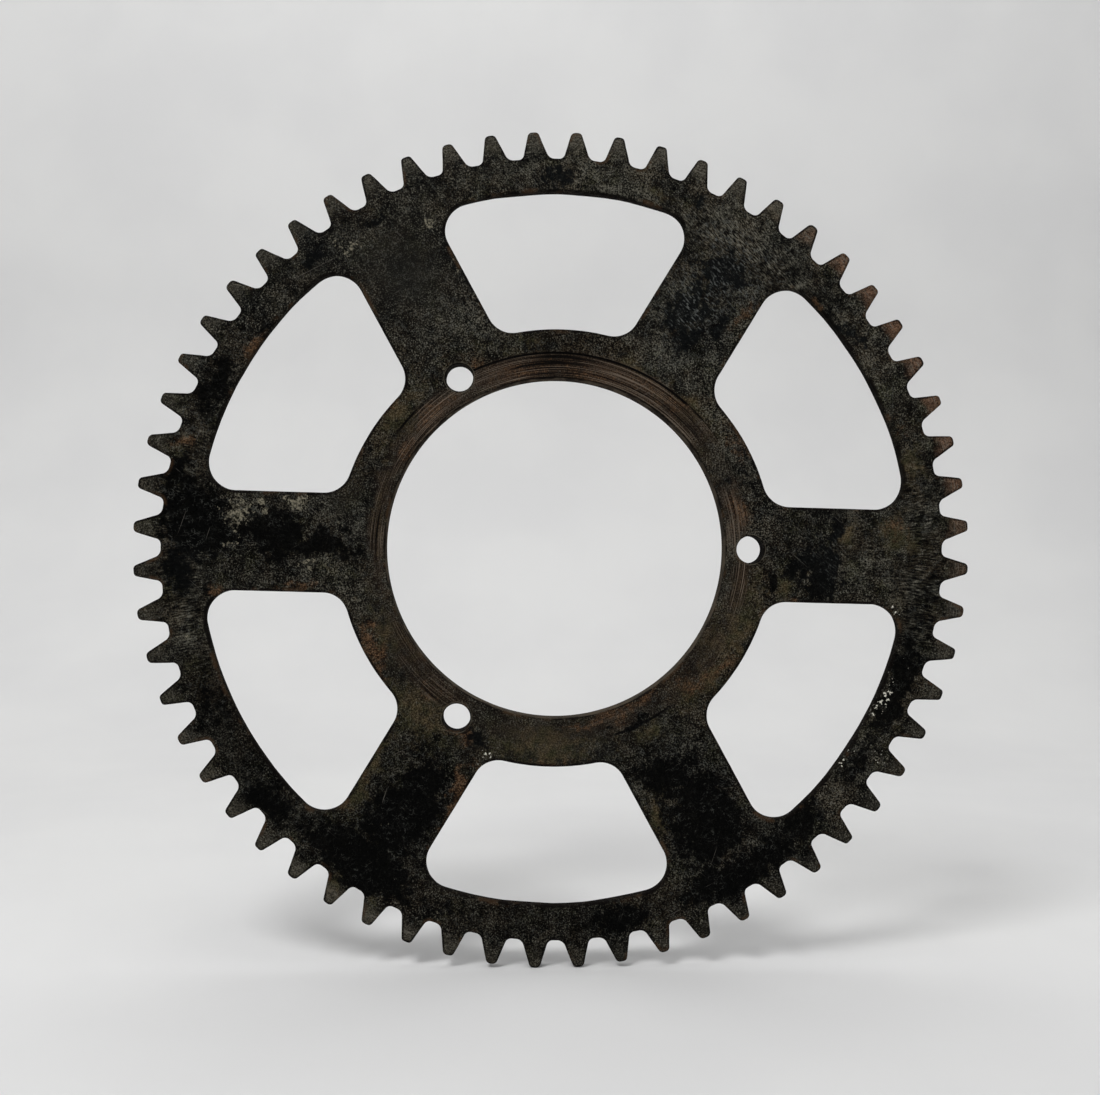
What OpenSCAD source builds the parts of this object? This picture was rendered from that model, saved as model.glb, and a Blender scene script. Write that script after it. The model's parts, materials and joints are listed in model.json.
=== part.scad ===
// Rear sprocket of a small motorcycle: one flat steel plate with 60 teeth for
// half-inch chain, six windows, a large centre bore and three bolt holes.
//
// Frame: the origin is on the bore's centreline, halfway through the plate.
// The bore runs along Y, +Z is up, and the face with the turned register looks
// toward -Y. One bolt hole lies on +X. All sizes are in millimetres.

/* [Plate] */
// Thickness of the plate
plate_t = 6; // [5:0.1:7.5]
// Width of the solid rim between the tooth roots and the windows
rim_w = 10.2; // [8:0.1:14]

/* [Teeth] */
// Number of teeth
teeth = 60; // [56:1:66]
// Pitch of the chain
chain_pitch = 12.7; // [12.6:0.05:12.8]
// Depth of the tooth roots below the pitch circle
root_depth = 4.1; // [3.9:0.05:4.3]
// Height of the tooth tips above the pitch circle
tip_height = 4.5; // [4:0.05:4.6]
// Half thickness of a tooth at the pitch circle
tooth_half_w = 2.85; // [2.5:0.05:2.9]
// Angle by which the teeth are turned past the first bolt hole's midway line
tooth_turn = 0.4; // [-3:0.1:3]
// Amount taken off each side of a tooth at its tip
tip_bevel = 0.9; // [0.2:0.1:1.5]

/* [Worn tooth flanks] */
// Lean of the steep flank, sideways per unit of height
steep_lean = 0.26; // [0.2:0.01:0.3]
// Lean of the upper part of the worn flank
worn_lean = 0.53; // [0.4:0.01:0.56]
// Height above the pitch circle where the worn flank changes its lean
worn_break = 0.9; // [0:0.1:1.5]
// Rounding of the tooth tip's two corners
tip_round = 0.8; // [0.4:0.1:0.9]
// Rounding of the root beside the steep flank
steep_root_round = 1.8; // [1:0.1:2]
// Rounding of the root beside the worn flank
worn_root_round = 2.5; // [1:0.1:2.7]

/* [Windows] */
// Number of windows and arms
windows = 6; // [6]
// Radius of the solid hub ring inside the windows
hub_r = 65.5; // [64:0.5:70]
// Width of each arm
arm_w = 29.4; // [22:0.2:34]
// Rounding of the two outer corners of a window
outer_round = 8.4; // [5:0.2:10]
// Rounding of the two inner corners of a window
inner_round = 8; // [3:0.2:8.4]
// Angle by which the windows are turned past the bolt holes
window_turn = -1.1; // [-3:0.1:3]

/* [Hub] */
// Diameter of the centre bore
bore_d = 102; // [96:0.5:104]
// Bevel round the edges of the bore and of the bolt holes
edge_bevel = 0.5; // [0.2:0.1:0.8]
// Diameter of the turned register on the front face
register_d = 117.6; // [110:0.2:120]
// Depth of the turned register
register_depth = 0.3; // [0.1:0.05:0.6]
// Number of bolt holes
bolts = 3; // [3, 6]
// Diameter of the circle on which the bolt holes lie
bolt_circle_d = 117.5; // [115:0.5:120]
// Diameter of each bolt hole
bolt_d = 8.2; // [6.4:0.2:8.6]

/* [Hidden] */

// Straight steps that stand for each rounded stretch of an outline
root_steps = 3;
tip_steps = 2;
corner_steps = 6;
long_arc_steps = 14;
// Segments asked of a full circle, all of which are true circles
circle_fn = 180;
// Distance by which a cutting shape runs past the face that it cuts
spare = 1;

half_t = plate_t / 2;
tooth_angle = 360 / teeth;
pitch_r = chain_pitch / (2 * sin(tooth_angle / 2));
root_r = pitch_r - root_depth;
tip_r = pitch_r + tip_height;
window_outer_r = root_r - rim_w;
window_angle = 360 / windows;
bevel_start_r = root_r + 0.8;
bevel_end_r = tip_r + spare;
bevel_end = tip_bevel * (bevel_end_r - bevel_start_r) / (tip_r - bevel_start_r);
register_floor = half_t - register_depth;

// Points on a circle from one angle to another, both ends included
function arc_points(centre, r, from, to, steps) =
    [for (i = [0 : steps])
        let (a = from + (to - from) * i / steps)
        centre + r * [cos(a), sin(a)]];

// Direction of the line from one point to another, in degrees
function heading(from, to) = atan2(to[1] - from[1], to[0] - from[0]);

// An angle brought into the range from -180 to 180
function wrapped(a) = a - 360 * floor((a + 180) / 360);

// The corner at b, between the lines a-b and b-c, rounded to radius r
function rounded_corner(a, b, c, r, steps) =
    let (into = heading(a, b),
         turn = wrapped(heading(b, c) - into),
         side = sign(turn),
         setback = r * tan(abs(turn) / 2),
         start = b - setback * [cos(into), sin(into)],
         centre = start + side * r * [-sin(into), cos(into)],
         first = into - side * 90)
    arc_points(centre, r, first, first + turn, steps);

// A point turned about the origin
function turned(p, a) = [p[0] * cos(a) - p[1] * sin(a), p[0] * sin(a) + p[1] * cos(a)];

// Outline of the tooth that stands on +Y, anticlockwise: from the root beside its
// worn flank, over the tip, to the root beside its steep flank. Each corner is
// named before it is rounded.
function tooth_points() =
    let (knee_x = tooth_half_w - steep_lean * worn_break,
         gap_half = root_r * sin(tooth_angle / 2),
         worn_gap = [gap_half, root_r],
         worn_root = [tooth_half_w + steep_lean * root_depth, root_r],
         worn_knee = [knee_x, pitch_r + worn_break],
         worn_tip = [knee_x - worn_lean * (tip_height - worn_break), tip_r],
         steep_tip = [-tooth_half_w + steep_lean * tip_height, tip_r],
         steep_root = [-tooth_half_w - steep_lean * root_depth, root_r],
         steep_gap = [-gap_half, root_r])
    concat(rounded_corner(worn_gap, worn_root, worn_knee, worn_root_round, root_steps),
           [worn_knee],
           rounded_corner(worn_knee, worn_tip, steep_tip, tip_round, tip_steps),
           rounded_corner(worn_tip, steep_tip, steep_root, tip_round, tip_steps),
           rounded_corner(steep_tip, steep_root, steep_gap, steep_root_round, root_steps));

// Outline of the window that lies on +Y: an arc along the rim, an arc along the
// hub ring, two sides parallel to the arms beside it, and four rounded corners.
function window_points() =
    let (arm = 90 - window_angle / 2,
         along = [cos(arm), sin(arm)],
         across = [-sin(arm), cos(arm)],
         outer_off = arm_w / 2 + outer_round,
         outer_reach = window_outer_r - outer_round,
         outer_centre = sqrt(pow(outer_reach, 2) - pow(outer_off, 2)) * along
             + outer_off * across,
         inner_off = arm_w / 2 + inner_round,
         inner_reach = hub_r + inner_round,
         inner_centre = sqrt(pow(inner_reach, 2) - pow(inner_off, 2)) * along
             + inner_off * across,
         outer_a = heading([0, 0], outer_centre),
         inner_a = heading([0, 0], inner_centre),
         half = concat(
             arc_points([0, 0], hub_r, 90, inner_a, long_arc_steps / 2),
             arc_points(inner_centre, inner_round, inner_a - 180, arm - 90, corner_steps),
             arc_points(outer_centre, outer_round, arm - 90, outer_a, corner_steps),
             arc_points([0, 0], window_outer_r, outer_a, 90, long_arc_steps / 2)),
         last = len(half) - 1,
         one_side = [for (i = [0 : last]) if (i == 0 || norm(half[i] - half[i - 1]) > 0.01) half[i]],
         end = len(one_side) - 1)
    concat(one_side, [for (i = [end - 1 : -1 : 1]) [-one_side[i][0], one_side[i][1]]]);

// The whole outer outline, tooth after tooth
module tooth_ring_outline() {
    tooth = tooth_points();
    first = tooth_angle / 2 + tooth_turn - 90;
    polygon([for (i = [0 : teeth - 1])
        each [for (p = tooth) turned(p, first + i * tooth_angle)]]);
}

// The solid of revolution that bevels both sides of every tooth
module tooth_bevel() {
    rotate_extrude($fn = circle_fn)
        polygon([
            [0, -half_t],
            [bevel_start_r, -half_t],
            [bevel_end_r, -half_t + bevel_end],
            [bevel_end_r, half_t - bevel_end],
            [bevel_start_r, half_t],
            [0, half_t]
        ]);
}

// The toothed plate before anything is cut from its middle
module toothed_plate() {
    intersection() {
        translate([0, 0, -half_t - spare])
            linear_extrude(plate_t + 2 * spare)
                tooth_ring_outline();
        tooth_bevel();
    }
}

// The windows, halfway between the arms
module window_cuts() {
    outline = window_points();
    for (i = [0 : windows - 1])
        rotate(window_turn + (i + 0.5) * window_angle - 90)
            translate([0, 0, -half_t - spare])
                linear_extrude(plate_t + 2 * spare)
                    polygon(outline);
}

// A round hole through the plate, bevelled where it meets the two faces
module round_hole(d, front, back) {
    r = d / 2;
    translate([0, 0, back - spare])
        cylinder(r = r, h = front - back + 2 * spare, $fn = circle_fn);
    translate([0, 0, front - edge_bevel])
        cylinder(r1 = r, r2 = r + edge_bevel + spare, h = edge_bevel + spare, $fn = circle_fn);
    translate([0, 0, back - spare])
        cylinder(r1 = r + edge_bevel + spare, r2 = r, h = edge_bevel + spare, $fn = circle_fn);
}

// The centre bore, which locates the sprocket on the wheel's hub
module bore_cut() {
    round_hole(bore_d, register_floor, -half_t);
}

// The bolt holes, on a circle round the bore
module bolt_cuts() {
    for (i = [0 : bolts - 1])
        rotate(i * 360 / bolts)
            translate([bolt_circle_d / 2, 0, 0])
                round_hole(bolt_d, half_t, -half_t);
}

// The shallow turned face round the bore
module register_cut() {
    translate([0, 0, register_floor])
        cylinder(d = register_d, h = register_depth + spare, $fn = circle_fn);
}

// The one-piece sprocket, stood up so that its bore runs along Y
module sprocket() {
    color("#45423b")
        rotate([90, 0, 0])
            difference() {
                toothed_plate();
                window_cuts();
                bore_cut();
                bolt_cuts();
                register_cut();
            }
}

sprocket();
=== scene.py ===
"""The rear sprocket in its worn state: one steel plate with rolled window edges, a turned register,
worn teeth, and layers of oxide, grease, rust and flaked dirt, with some light, shade and reflection painted
in.

Lengths are millimetres until the mesh is made. Plane points are (right, up) on the plate's face.
"""

import json
import math

import bmesh
import bpy
import numpy as np
from mathutils import Euler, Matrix, Vector, kdtree, noise
from mathutils.geometry import delaunay_2d_cdt


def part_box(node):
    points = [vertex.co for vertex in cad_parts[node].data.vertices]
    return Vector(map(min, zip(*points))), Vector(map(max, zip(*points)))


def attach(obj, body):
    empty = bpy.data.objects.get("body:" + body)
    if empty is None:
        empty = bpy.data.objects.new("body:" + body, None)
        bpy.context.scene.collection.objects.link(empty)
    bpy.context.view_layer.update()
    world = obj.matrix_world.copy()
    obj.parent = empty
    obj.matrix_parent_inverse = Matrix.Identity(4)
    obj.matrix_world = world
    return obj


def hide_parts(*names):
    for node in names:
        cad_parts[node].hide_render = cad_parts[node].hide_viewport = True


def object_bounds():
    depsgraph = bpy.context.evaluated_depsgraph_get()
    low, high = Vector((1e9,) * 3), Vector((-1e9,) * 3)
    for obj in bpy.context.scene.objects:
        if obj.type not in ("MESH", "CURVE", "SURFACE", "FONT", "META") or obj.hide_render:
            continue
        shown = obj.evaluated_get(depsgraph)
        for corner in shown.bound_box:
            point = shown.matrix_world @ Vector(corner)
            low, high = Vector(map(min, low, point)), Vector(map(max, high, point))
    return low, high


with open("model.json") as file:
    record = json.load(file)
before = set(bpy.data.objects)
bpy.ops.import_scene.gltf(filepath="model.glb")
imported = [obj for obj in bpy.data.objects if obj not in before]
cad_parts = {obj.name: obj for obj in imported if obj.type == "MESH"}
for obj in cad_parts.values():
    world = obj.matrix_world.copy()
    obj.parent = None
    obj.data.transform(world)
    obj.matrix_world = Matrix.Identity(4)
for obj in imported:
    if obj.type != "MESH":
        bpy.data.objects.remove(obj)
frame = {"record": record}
cad_low, cad_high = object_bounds()

MM = 0.001


# ---- Driving sizes -----------------------------------------------------------------------------

mount_sizes = {mount["name"]: mount["dims"] for mount in frame["record"]["mounts"]}
HALF_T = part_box("sprocket")[1].y / MM
BORE_R = mount_sizes["bore"]["r_mm"]
BOLT_CIRCLE_R = mount_sizes["bolt_holes"]["pcd_mm"] / 2
BOLT_R = mount_sizes["bolt_holes"]["hole_r_mm"]
BOLTS = mount_sizes["bolt_holes"]["count"]

TEETH = 60
CHAIN_PITCH = 12.7
ROOT_DEPTH = 4.1
TIP_HEIGHT = 4.5
TOOTH_HALF_W = 2.85
TOOTH_TURN = 0.4
TIP_BEVEL = 0.9
STEEP_LEAN = 0.26
WORN_LEAN = 0.53
WORN_BREAK = 0.9
# What the wear changes from tooth to tooth, each as (least, most)
TIP_LOSSES = (-0.12, 0.12)
WORN_LEAN_CHANGES = (-0.12, -0.04)
WORN_TIP_ROUNDS = (1.1, 1.55)
STEEP_LEAN_CHANGE = -0.03
STEEP_ROOT_ROUND = 1.8
WORN_ROOT_ROUND = 2.5

WINDOWS = 6
RIM_W = 10.2
HUB_R = 65.5
ARM_W = 29.4
OUTER_ROUND = 8.4
INNER_ROUND = 8.0
WINDOW_TURN = -1.1
# How far each window lies off its true place, as (right, up), from the first window above +X
WINDOW_SHIFTS = ((0.5, 0.0), (0.3, 0.3), (0.0, 0.0), (0.7, -0.3), (-0.1, 0.1), (0.2, 0.2))
# How much larger each window is on every side
WINDOW_GROWTHS = (0.4, -0.1, 0.05, -0.2, -0.2, 0.0)

REGISTER_R = 58.8
REGISTER_DEPTH = 0.3

TOOTH_ANGLE = 360 / TEETH
PITCH_R = CHAIN_PITCH / (2 * math.sin(math.radians(TOOTH_ANGLE / 2)))
ROOT_R = PITCH_R - ROOT_DEPTH
TIP_R = PITCH_R + TIP_HEIGHT
BEVEL_START_R = ROOT_R + 0.8
WINDOW_OUTER_R = ROOT_R - RIM_W
WINDOW_ANGLE = 360 / WINDOWS

# Spacing of the mesh's points
TOOTH_STEP = 0.42
WINDOW_STEP = 0.7
BORE_STEP = 0.75
BOLT_STEP = 0.4
FRONT_STEP = 0.95
BACK_STEP = 1.7
ARC_STEP = 0.12
GROOVE_STEP = 0.95
GROOVE_CLEAR = 0.3
GRID_CLEAR = 0.55
GRID_JITTER = 0.18

rng = np.random.default_rng(60)


# ---- Plane outlines ----------------------------------------------------------------------------

def unit(degrees):
    return np.array([math.cos(math.radians(degrees)), math.sin(math.radians(degrees))])


def heading(start, end):
    return math.degrees(math.atan2(end[1] - start[1], end[0] - start[0]))


def wrapped(degrees):
    return (degrees + 180) % 360 - 180


def arc(centre, radius, start, end):
    steps = max(2, math.ceil(abs(math.radians(end - start)) * radius / ARC_STEP))
    angles = np.radians(np.linspace(start, end, steps + 1))
    return np.asarray(centre) + radius * np.column_stack((np.cos(angles), np.sin(angles)))


def rounded_corner(a, b, c, radius):
    """The corner at b, between the lines a-b and b-c, rounded to that radius."""
    into = heading(a, b)
    turn = wrapped(heading(b, c) - into)
    side = math.copysign(1, turn)
    start = np.asarray(b) - radius * math.tan(math.radians(abs(turn) / 2)) * unit(into)
    centre = start + side * radius * unit(into + 90)
    return arc(centre, radius, into - side * 90, into - side * 90 + turn)


def turned(points, degrees):
    c, s = unit(degrees)
    return points @ np.array([[c, s], [-s, c]])


def tooth_points(tip_loss, lean_change, tip_round):
    """The tooth on +Z, anticlockwise, from the root beside its worn flank to that beside its steep one."""
    tip_r = TIP_R - tip_loss
    height = TIP_HEIGHT - tip_loss
    lean = WORN_LEAN + lean_change
    knee_x = TOOTH_HALF_W - STEEP_LEAN * WORN_BREAK
    gap_half = ROOT_R * math.sin(math.radians(TOOTH_ANGLE / 2))
    worn_gap = (gap_half, ROOT_R)
    worn_root = (TOOTH_HALF_W + STEEP_LEAN * ROOT_DEPTH, ROOT_R)
    worn_knee = (knee_x, PITCH_R + WORN_BREAK)
    worn_tip = (knee_x - lean * (height - WORN_BREAK), tip_r)
    steep_tip = (-TOOTH_HALF_W + (STEEP_LEAN + STEEP_LEAN_CHANGE) * height, tip_r)
    steep_root = (-TOOTH_HALF_W - STEEP_LEAN * ROOT_DEPTH, ROOT_R)
    steep_gap = (-gap_half, ROOT_R)
    return np.vstack((
        rounded_corner(worn_gap, worn_root, worn_knee, WORN_ROOT_ROUND),
        rounded_corner(worn_knee, worn_tip, steep_tip, tip_round),
        rounded_corner(worn_tip, steep_tip, steep_root, tip_round),
        rounded_corner(steep_tip, steep_root, steep_gap, STEEP_ROOT_ROUND),
    ))


def tooth_ring():
    first = TOOTH_ANGLE / 2 + TOOTH_TURN - 90
    ring = []
    for i in range(TEETH):
        tip_loss = rng.uniform(*TIP_LOSSES)
        lean_change = rng.uniform(*WORN_LEAN_CHANGES)
        tip_round = rng.uniform(*WORN_TIP_ROUNDS)
        tooth = tooth_points(tip_loss, lean_change, tip_round)
        ring.append(turned(tooth, first + i * TOOTH_ANGLE))
    return np.vstack(ring)


def window_points():
    """The window on +Z, anticlockwise."""
    arm = 90 - WINDOW_ANGLE / 2
    along, across = unit(arm), unit(arm + 90)
    outer_off = ARM_W / 2 + OUTER_ROUND
    outer_along = math.sqrt((WINDOW_OUTER_R - OUTER_ROUND) ** 2 - outer_off ** 2)
    outer_centre = outer_along * along + outer_off * across
    outer_angle = heading((0, 0), outer_centre)
    inner_off = ARM_W / 2 + INNER_ROUND
    inner_along = math.sqrt((HUB_R + INNER_ROUND) ** 2 - inner_off ** 2)
    inner_centre = inner_along * along + inner_off * across
    inner_angle = heading((0, 0), inner_centre)
    half = np.vstack((
        arc((0, 0), HUB_R, 90, inner_angle),
        arc(inner_centre, INNER_ROUND, inner_angle - 180, arm - 90),
        arc(outer_centre, OUTER_ROUND, arm - 90, outer_angle),
        arc((0, 0), WINDOW_OUTER_R, outer_angle, 90),
    ))
    other = half[-2:0:-1] * (-1, 1)
    return np.vstack((half, other))


def bolt_centres():
    return [BOLT_CIRCLE_R * unit(i * 360 / BOLTS) for i in range(BOLTS)]


def circle(centre, radius, step):
    count = math.ceil(2 * math.pi * radius / step)
    angles = np.arange(count) * 2 * math.pi / count
    return np.asarray(centre) + radius * np.column_stack((np.cos(angles), np.sin(angles)))


def resampled(points, step):
    """A closed outline with its points evenly spaced."""
    closed = np.vstack((points, points[:1]))
    lengths = np.hypot(*np.diff(closed, axis=0).T)
    keep = np.concatenate(([True], lengths > 1e-6))
    closed = closed[keep]
    along = np.concatenate(([0], np.cumsum(lengths[lengths > 1e-6])))
    count = round(along[-1] / step)
    at = np.arange(count) * along[-1] / count
    return np.column_stack((np.interp(at, along, closed[:, 0]), np.interp(at, along, closed[:, 1])))


def normals_of(points, material_inside):
    """Unit vectors that point from a closed anticlockwise outline into the steel."""
    tangent = np.roll(points, -1, axis=0) - np.roll(points, 1, axis=0)
    tangent /= np.hypot(*tangent.T)[:, None]
    left = np.column_stack((-tangent[:, 1], tangent[:, 0]))
    return left if material_inside else -left


# ---- Noise -------------------------------------------------------------------------------------

def noise_field(points, scale, seed, octaves=1):
    """Smooth noise from about -1 to 1 at plane points, with features of about that many millimetres."""
    values = np.zeros(len(points))
    weight, size = 1.0, scale
    for octave in range(octaves):
        shift = seed * 17.3 + octave * 5.1
        values += weight * np.array([noise.noise((x / size, y / size, shift)) for x, y in points])
        weight, size = weight / 2, size / 2
    return values


def smooth_step(low, high, x):
    t = np.clip((x - low) / (high - low), 0, 1)
    return t * t * (3 - 2 * t)


# ---- Where the stains and the painted light, shade and reflections lie -------------------------
# Each patch is (angle, radius, half length along the circle, half length along the radius, strength).
# The angle is in degrees from +X toward +Z.

LUMPY = (
    (56, 96, 12, 8, 1.0), (66, 80, 6, 10, 0.7), (60, 103, 14, 9, 1.0), (61, 82, 8, 18, 1.0),
    (299, 90, 16, 24, 0.9), (238, 95, 14, 22, 0.7), (-3, 80, 12, 8, 0.6), (177, 85, 11, 22, 0.7),
    (116, 73, 14, 8, 0.6), (10, 62, 14, 5, 0.4), (300, 112, 30, 6, 0.6), (160, 112, 30, 6, 0.5),
)

PATCHES = {
    "lumpy": LUMPY,
    "tar": (
        (58, 92, 12, 12, 0.55), (64, 84, 8, 10, 0.5), (-21, 112, 20, 6, 1.0), (-4, 80, 12, 8, 0.95),
        (4, 84, 6, 3, 0.9), (-7, 89, 4, 4, 0.7), (-4, 72, 6, 4, 0.85), (-9, 66, 6, 2, 0.8),
        (36, 111, 8, 4, 0.7), (22, 62, 4, 3, 0.7), (41, 64, 5, 2, 0.6), (22, 55, 6, 4, 0.55),
        (60, 98, 11, 9, 0.85), (62, 82, 6, 14, 0.9), (58, 74, 5, 9, 0.8), (54, 84, 4, 8, 0.75),
        (90, 112, 6, 6, 0.75), (68, 114, 4, 5, 0.7), (172, 112, 9, 8, 0.8), (119, 113, 7, 4, 0.65),
        (130, 114, 8, 5, 0.75), (109.5, 85, 3, 6, 0.65), (88, 62, 8, 2, 0.5), (155, 113, 13, 6, 0.8),
        (169, 115, 7, 5, 0.9), (176, 107, 13, 13, 1.2), (177, 96, 7, 10, 0.85), (178, 84, 8, 10, 1.1),
        (180, 70, 5, 12, 1.0), (184, 112, 9, 6, 0.8), (176, 62, 5, 4, 0.6), (205, 112, 14, 5, 0.6),
        (222, 113, 14, 6, 0.75), (238, 110, 22, 9, 1.15), (241, 88, 10, 17, 1.2),
        (239.5, 97, 10, 10, 1.0), (247, 61, 8, 5, 0.7), (253, 112, 14, 6, 0.6), (281, 112, 12, 6, 0.85),
        (300, 112, 24, 7, 1.05), (299, 92, 14, 18, 1.1), (297, 76, 12, 10, 0.85), (312, 111, 12, 6, 0.85),
        (294, 58, 10, 1.3, 0.9), (325, 112, 16, 5, 0.7), (268, 112, 10, 5, 0.4),
    ),
    "rust": (
        (213, 65, 9, 2.4, 1.0), (220, 66, 6, 2.4, 0.9), (12, 56, 7, 3.5, 1.0), (147, 109, 6, 2.5, 1.0),
        (165, 115, 3, 4, 0.9), (187, 101, 3, 4, 0.9), (140.5, 65, 5, 2, 1.1), (132, 55, 10, 3, 0.9),
        (147, 54, 6, 2.5, 0.9), (115, 60, 4, 2, 0.8), (80, 55, 16, 3.5, 0.75), (100, 55, 14, 3.5, 0.75),
        (60, 56, 10, 3, 0.7), (52, 56, 6, 3, 0.9), (208, 62, 9, 3, 0.95), (243, 62, 5, 3, 0.95),
        (286, 54, 12, 2.5, 0.85), (300, 53, 9, 2, 0.85), (318, 58, 9, 4, 0.8), (325, 62, 6, 3, 0.85),
        (248.5, 80, 1.6, 14, 0.95), (189.5, 78, 1.3, 9, 0.8), (30, 62, 5, 3, 0.7),
        (43, 108, 7, 1.5, 0.85), (4, 104, 5, 5, 0.7), (252, 68, 4, 1.5, 0.95), (51.5, 90, 2.2, 5, 0.85),
        (230, 57, 8, 4, 0.55), (270, 65, 16, 1.2, 0.7), (20, 111, 6, 5, 0.45), (-12, 82, 1.4, 12, 0.8),
        (120, 65, 5, 2, 0.4),
    ),
    "ochre": (
        (229.5, 78, 3, 7, 0.9), (231, 88, 3, 7, 1.0), (222, 74, 8, 6, 0.6), (3, 88, 4, 3, 1.0),
        (-9, 71, 4, 5, 1.0), (3, 103, 7, 6, 0.8), (14, 111, 8, 5, 0.75), (-22, 59, 18, 7, 0.8),
        (-12, 56, 10, 2.5, 0.8), (50, 57, 12, 4, 0.9), (67, 59, 10, 4, 0.7), (232, 94, 4, 6, 0.9),
        (291, 87, 2.6, 7, 1.0), (230, 64, 16, 9, 0.8), (205, 57, 14, 5, 0.65), (297, 62, 6, 3, 0.9),
        (320, 60, 14, 5, 0.9), (170, 54, 16, 2.6, 0.8), (237, 121, 4, 5, 1.2), (243, 120, 3, 4, 0.9),
        (268, 60, 18, 7, 0.85), (140, 62, 16, 6, 0.7), (100, 62, 10, 4, 0.5), (75, 111, 10, 3, 0.6),
        (10, 96, 4, 8, 0.6), (213, 53, 8, 2, 0.9), (343, 60, 10, 6, 0.7),
    ),
    "flake": (
        (170, 78, 5, 5, 1.0), (173, 87.5, 4, 2, 1.0), (174, 95, 7, 6, 0.85), (179, 97, 3, 3, 0.75),
        (185, 76, 6, 5, 0.75), (175, 64, 6, 5, 0.55), (111.5, 105, 3, 3, 0.95), (125, 109, 6, 6, 0.7),
        (109.5, 87, 2, 4, 0.6), (239, 96, 3, 6, 0.5), (193, 114, 4, 4, 0.6), (252, 114, 3, 4, 0.6),
        (300, 60, 4, 2, 0.4), (172, 70, 5, 3, 0.6),
    ),
    # Grit: specks painted bright as their glints
    "grit_and_glints": (
        (-25, 108, 12, 3, 1.0), (-20, 112, 8, 4, 0.6), (-10, 104, 4, 3, 0.8), (-36, 108, 12, 2, 0.7),
        (252, 64, 3, 4, 0.9), (-30, 116, 12, 4, 0.5), (177, 121, 5, 3, 0.5), (206, 121, 3, 3, 0.6),
    ),
    # Light: painted sheen, mostly towards the top and upper right, partly the coat's own lighter tone
    "light": (
        (60, 110, 24, 10, 1.0), (64, 88, 6, 20, 0.9), (52, 92, 6, 20, 0.5), (84, 112, 30, 6, 0.7),
        (30, 112, 30, 6, 0.6), (0, 97, 16, 10, 0.6), (5, 112, 20, 6, 0.4), (60, 66, 14, 6, 0.8),
        (40, 60, 16, 6, 0.5), (8, 56, 10, 5, 0.5), (114, 74, 14, 9, 0.4), (193, 113, 7, 5, 0.8),
        (175, 64, 7, 6, 0.7), (187, 70, 6, 9, 0.5), (299, 85, 14, 20, 0.4), (102, 112, 22, 5, 0.3),
        (123, 110, 9, 5, 0.5), (318, 112, 10, 5, 0.5), (120, 55, 16, 5, 0.5), (333, 112, 16, 6, 0.4),
        (174, 95, 8, 8, 0.5),
    ),
    # Shade: painted shade, mostly towards the bottom and left, partly the coat's own darker tone
    "shade": (
        (90, 57, 10, 6, 1.0), (270, 112, 50, 8, 0.7), (210, 112, 50, 8, 0.8), (240, 90, 18, 30, 0.95),
        (300, 90, 20, 30, 0.9), (125, 114, 14, 6, 0.6), (180, 85, 16, 30, 0.5), (90, 63, 16, 3, 0.5),
        (180, 62, 12, 4, 0.5), (214, 56, 14, 6, 0.4), (152, 56, 10, 6, 0.4),
    ),
    # Cool: a bluish tint painted as the sky's reflection, in the tar and on the lumps' ridges
    "sky_reflection": (
        (60, 90, 20, 26, 1.0), (90, 112, 10, 9, 1.0), (38, 110, 16, 8, 1.0), (128, 112, 20, 9, 0.6),
        (0, 84, 12, 10, 0.6), (110, 85, 6, 12, 0.7), (184, 110, 10, 8, 0.4), (248, 61, 9, 6, 0.5),
        (68, 114, 6, 5, 1.0),
    ),
    # Rubbed: the bore wall's lower half, painted lighter where the light from above falls, partly rubbed by
    # the hub
    "rubbed_and_lit": (
        (300, 51, 60, 4, 1.0), (240, 51, 34, 4, 0.9), (350, 51, 18, 4, 0.7),
    ),
    "smooth": (
        (119, 95, 14, 14, 1.0), (168, 64, 10, 4, 0.6), (268, 60, 20, 8, 1.0), (132, 108, 6, 5, 0.5),
        (214, 58, 10, 5, 0.5),
    ),
    "grind": (
        (58, 107, 34, 10, 1.0), (62, 88, 12, 20, 0.7), (95, 112, 30, 6, 0.5),
    ),
    "radial": (
        (180, 112, 50, 8, 1.0), (-5, 112, 45, 8, 1.0), (225, 112, 20, 8, 0.5), (2, 92, 16, 12, 0.5),
    ),
    "turned": (
        (72, 55, 22, 7, 1.0), (104, 55, 16, 7, 1.0), (90, 55, 14, 7, 0.7), (130, 54, 14, 5, 0.9),
        (-10, 56, 10, 2.5, 0.9), (172, 54, 18, 2.5, 0.7), (290, 55, 18, 4, 0.3), (48, 55, 12, 6, 0.8),
        (10, 55, 12, 4, 0.6), (330, 56, 30, 5, 0.25), (265, 56, 14, 5, 0.25), (232, 56, 12, 5, 0.5),
        (213, 53, 12, 3, 0.6), (150, 54, 14, 3, 0.7),
    ),
    # Corner: where the shadow of the register's step is painted
    "corner": (
        (90, 59, 38, 3, 1.0), (295, 58, 12, 3, 0.9), (50, 59, 14, 3, 0.8), (140, 59, 14, 3, 0.5),
    ),
}

# Wear of the tooth tips at every so many degrees from +X: how bright the rubbed metal is, and how red
TIP_SPACING = 30
TIP_BRIGHTNESS = (0.75, 1.0, 1.0, 0.7, 0.45, 0.35, 0.25, 0.4, 1.0, 0.15, 0.25, 0.25)
TIP_REDNESS = (0.5, 1.0, 0.3, 0.1, 0.1, 0.15, 0.2, 0.1, 0.1, 0.1, 0.2, 0.15)

# How far the patches' ragged borders wander, and the size of that wandering
DRIFT = 3.0
DRIFT_SIZE = 7


def drifted(points):
    """The points moved a little by noise, so that patches get ragged borders."""
    right = noise_field(points, DRIFT_SIZE, 31, 3)
    up = noise_field(points, DRIFT_SIZE, 32, 3)
    return points + DRIFT * np.column_stack((right, up))


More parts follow.
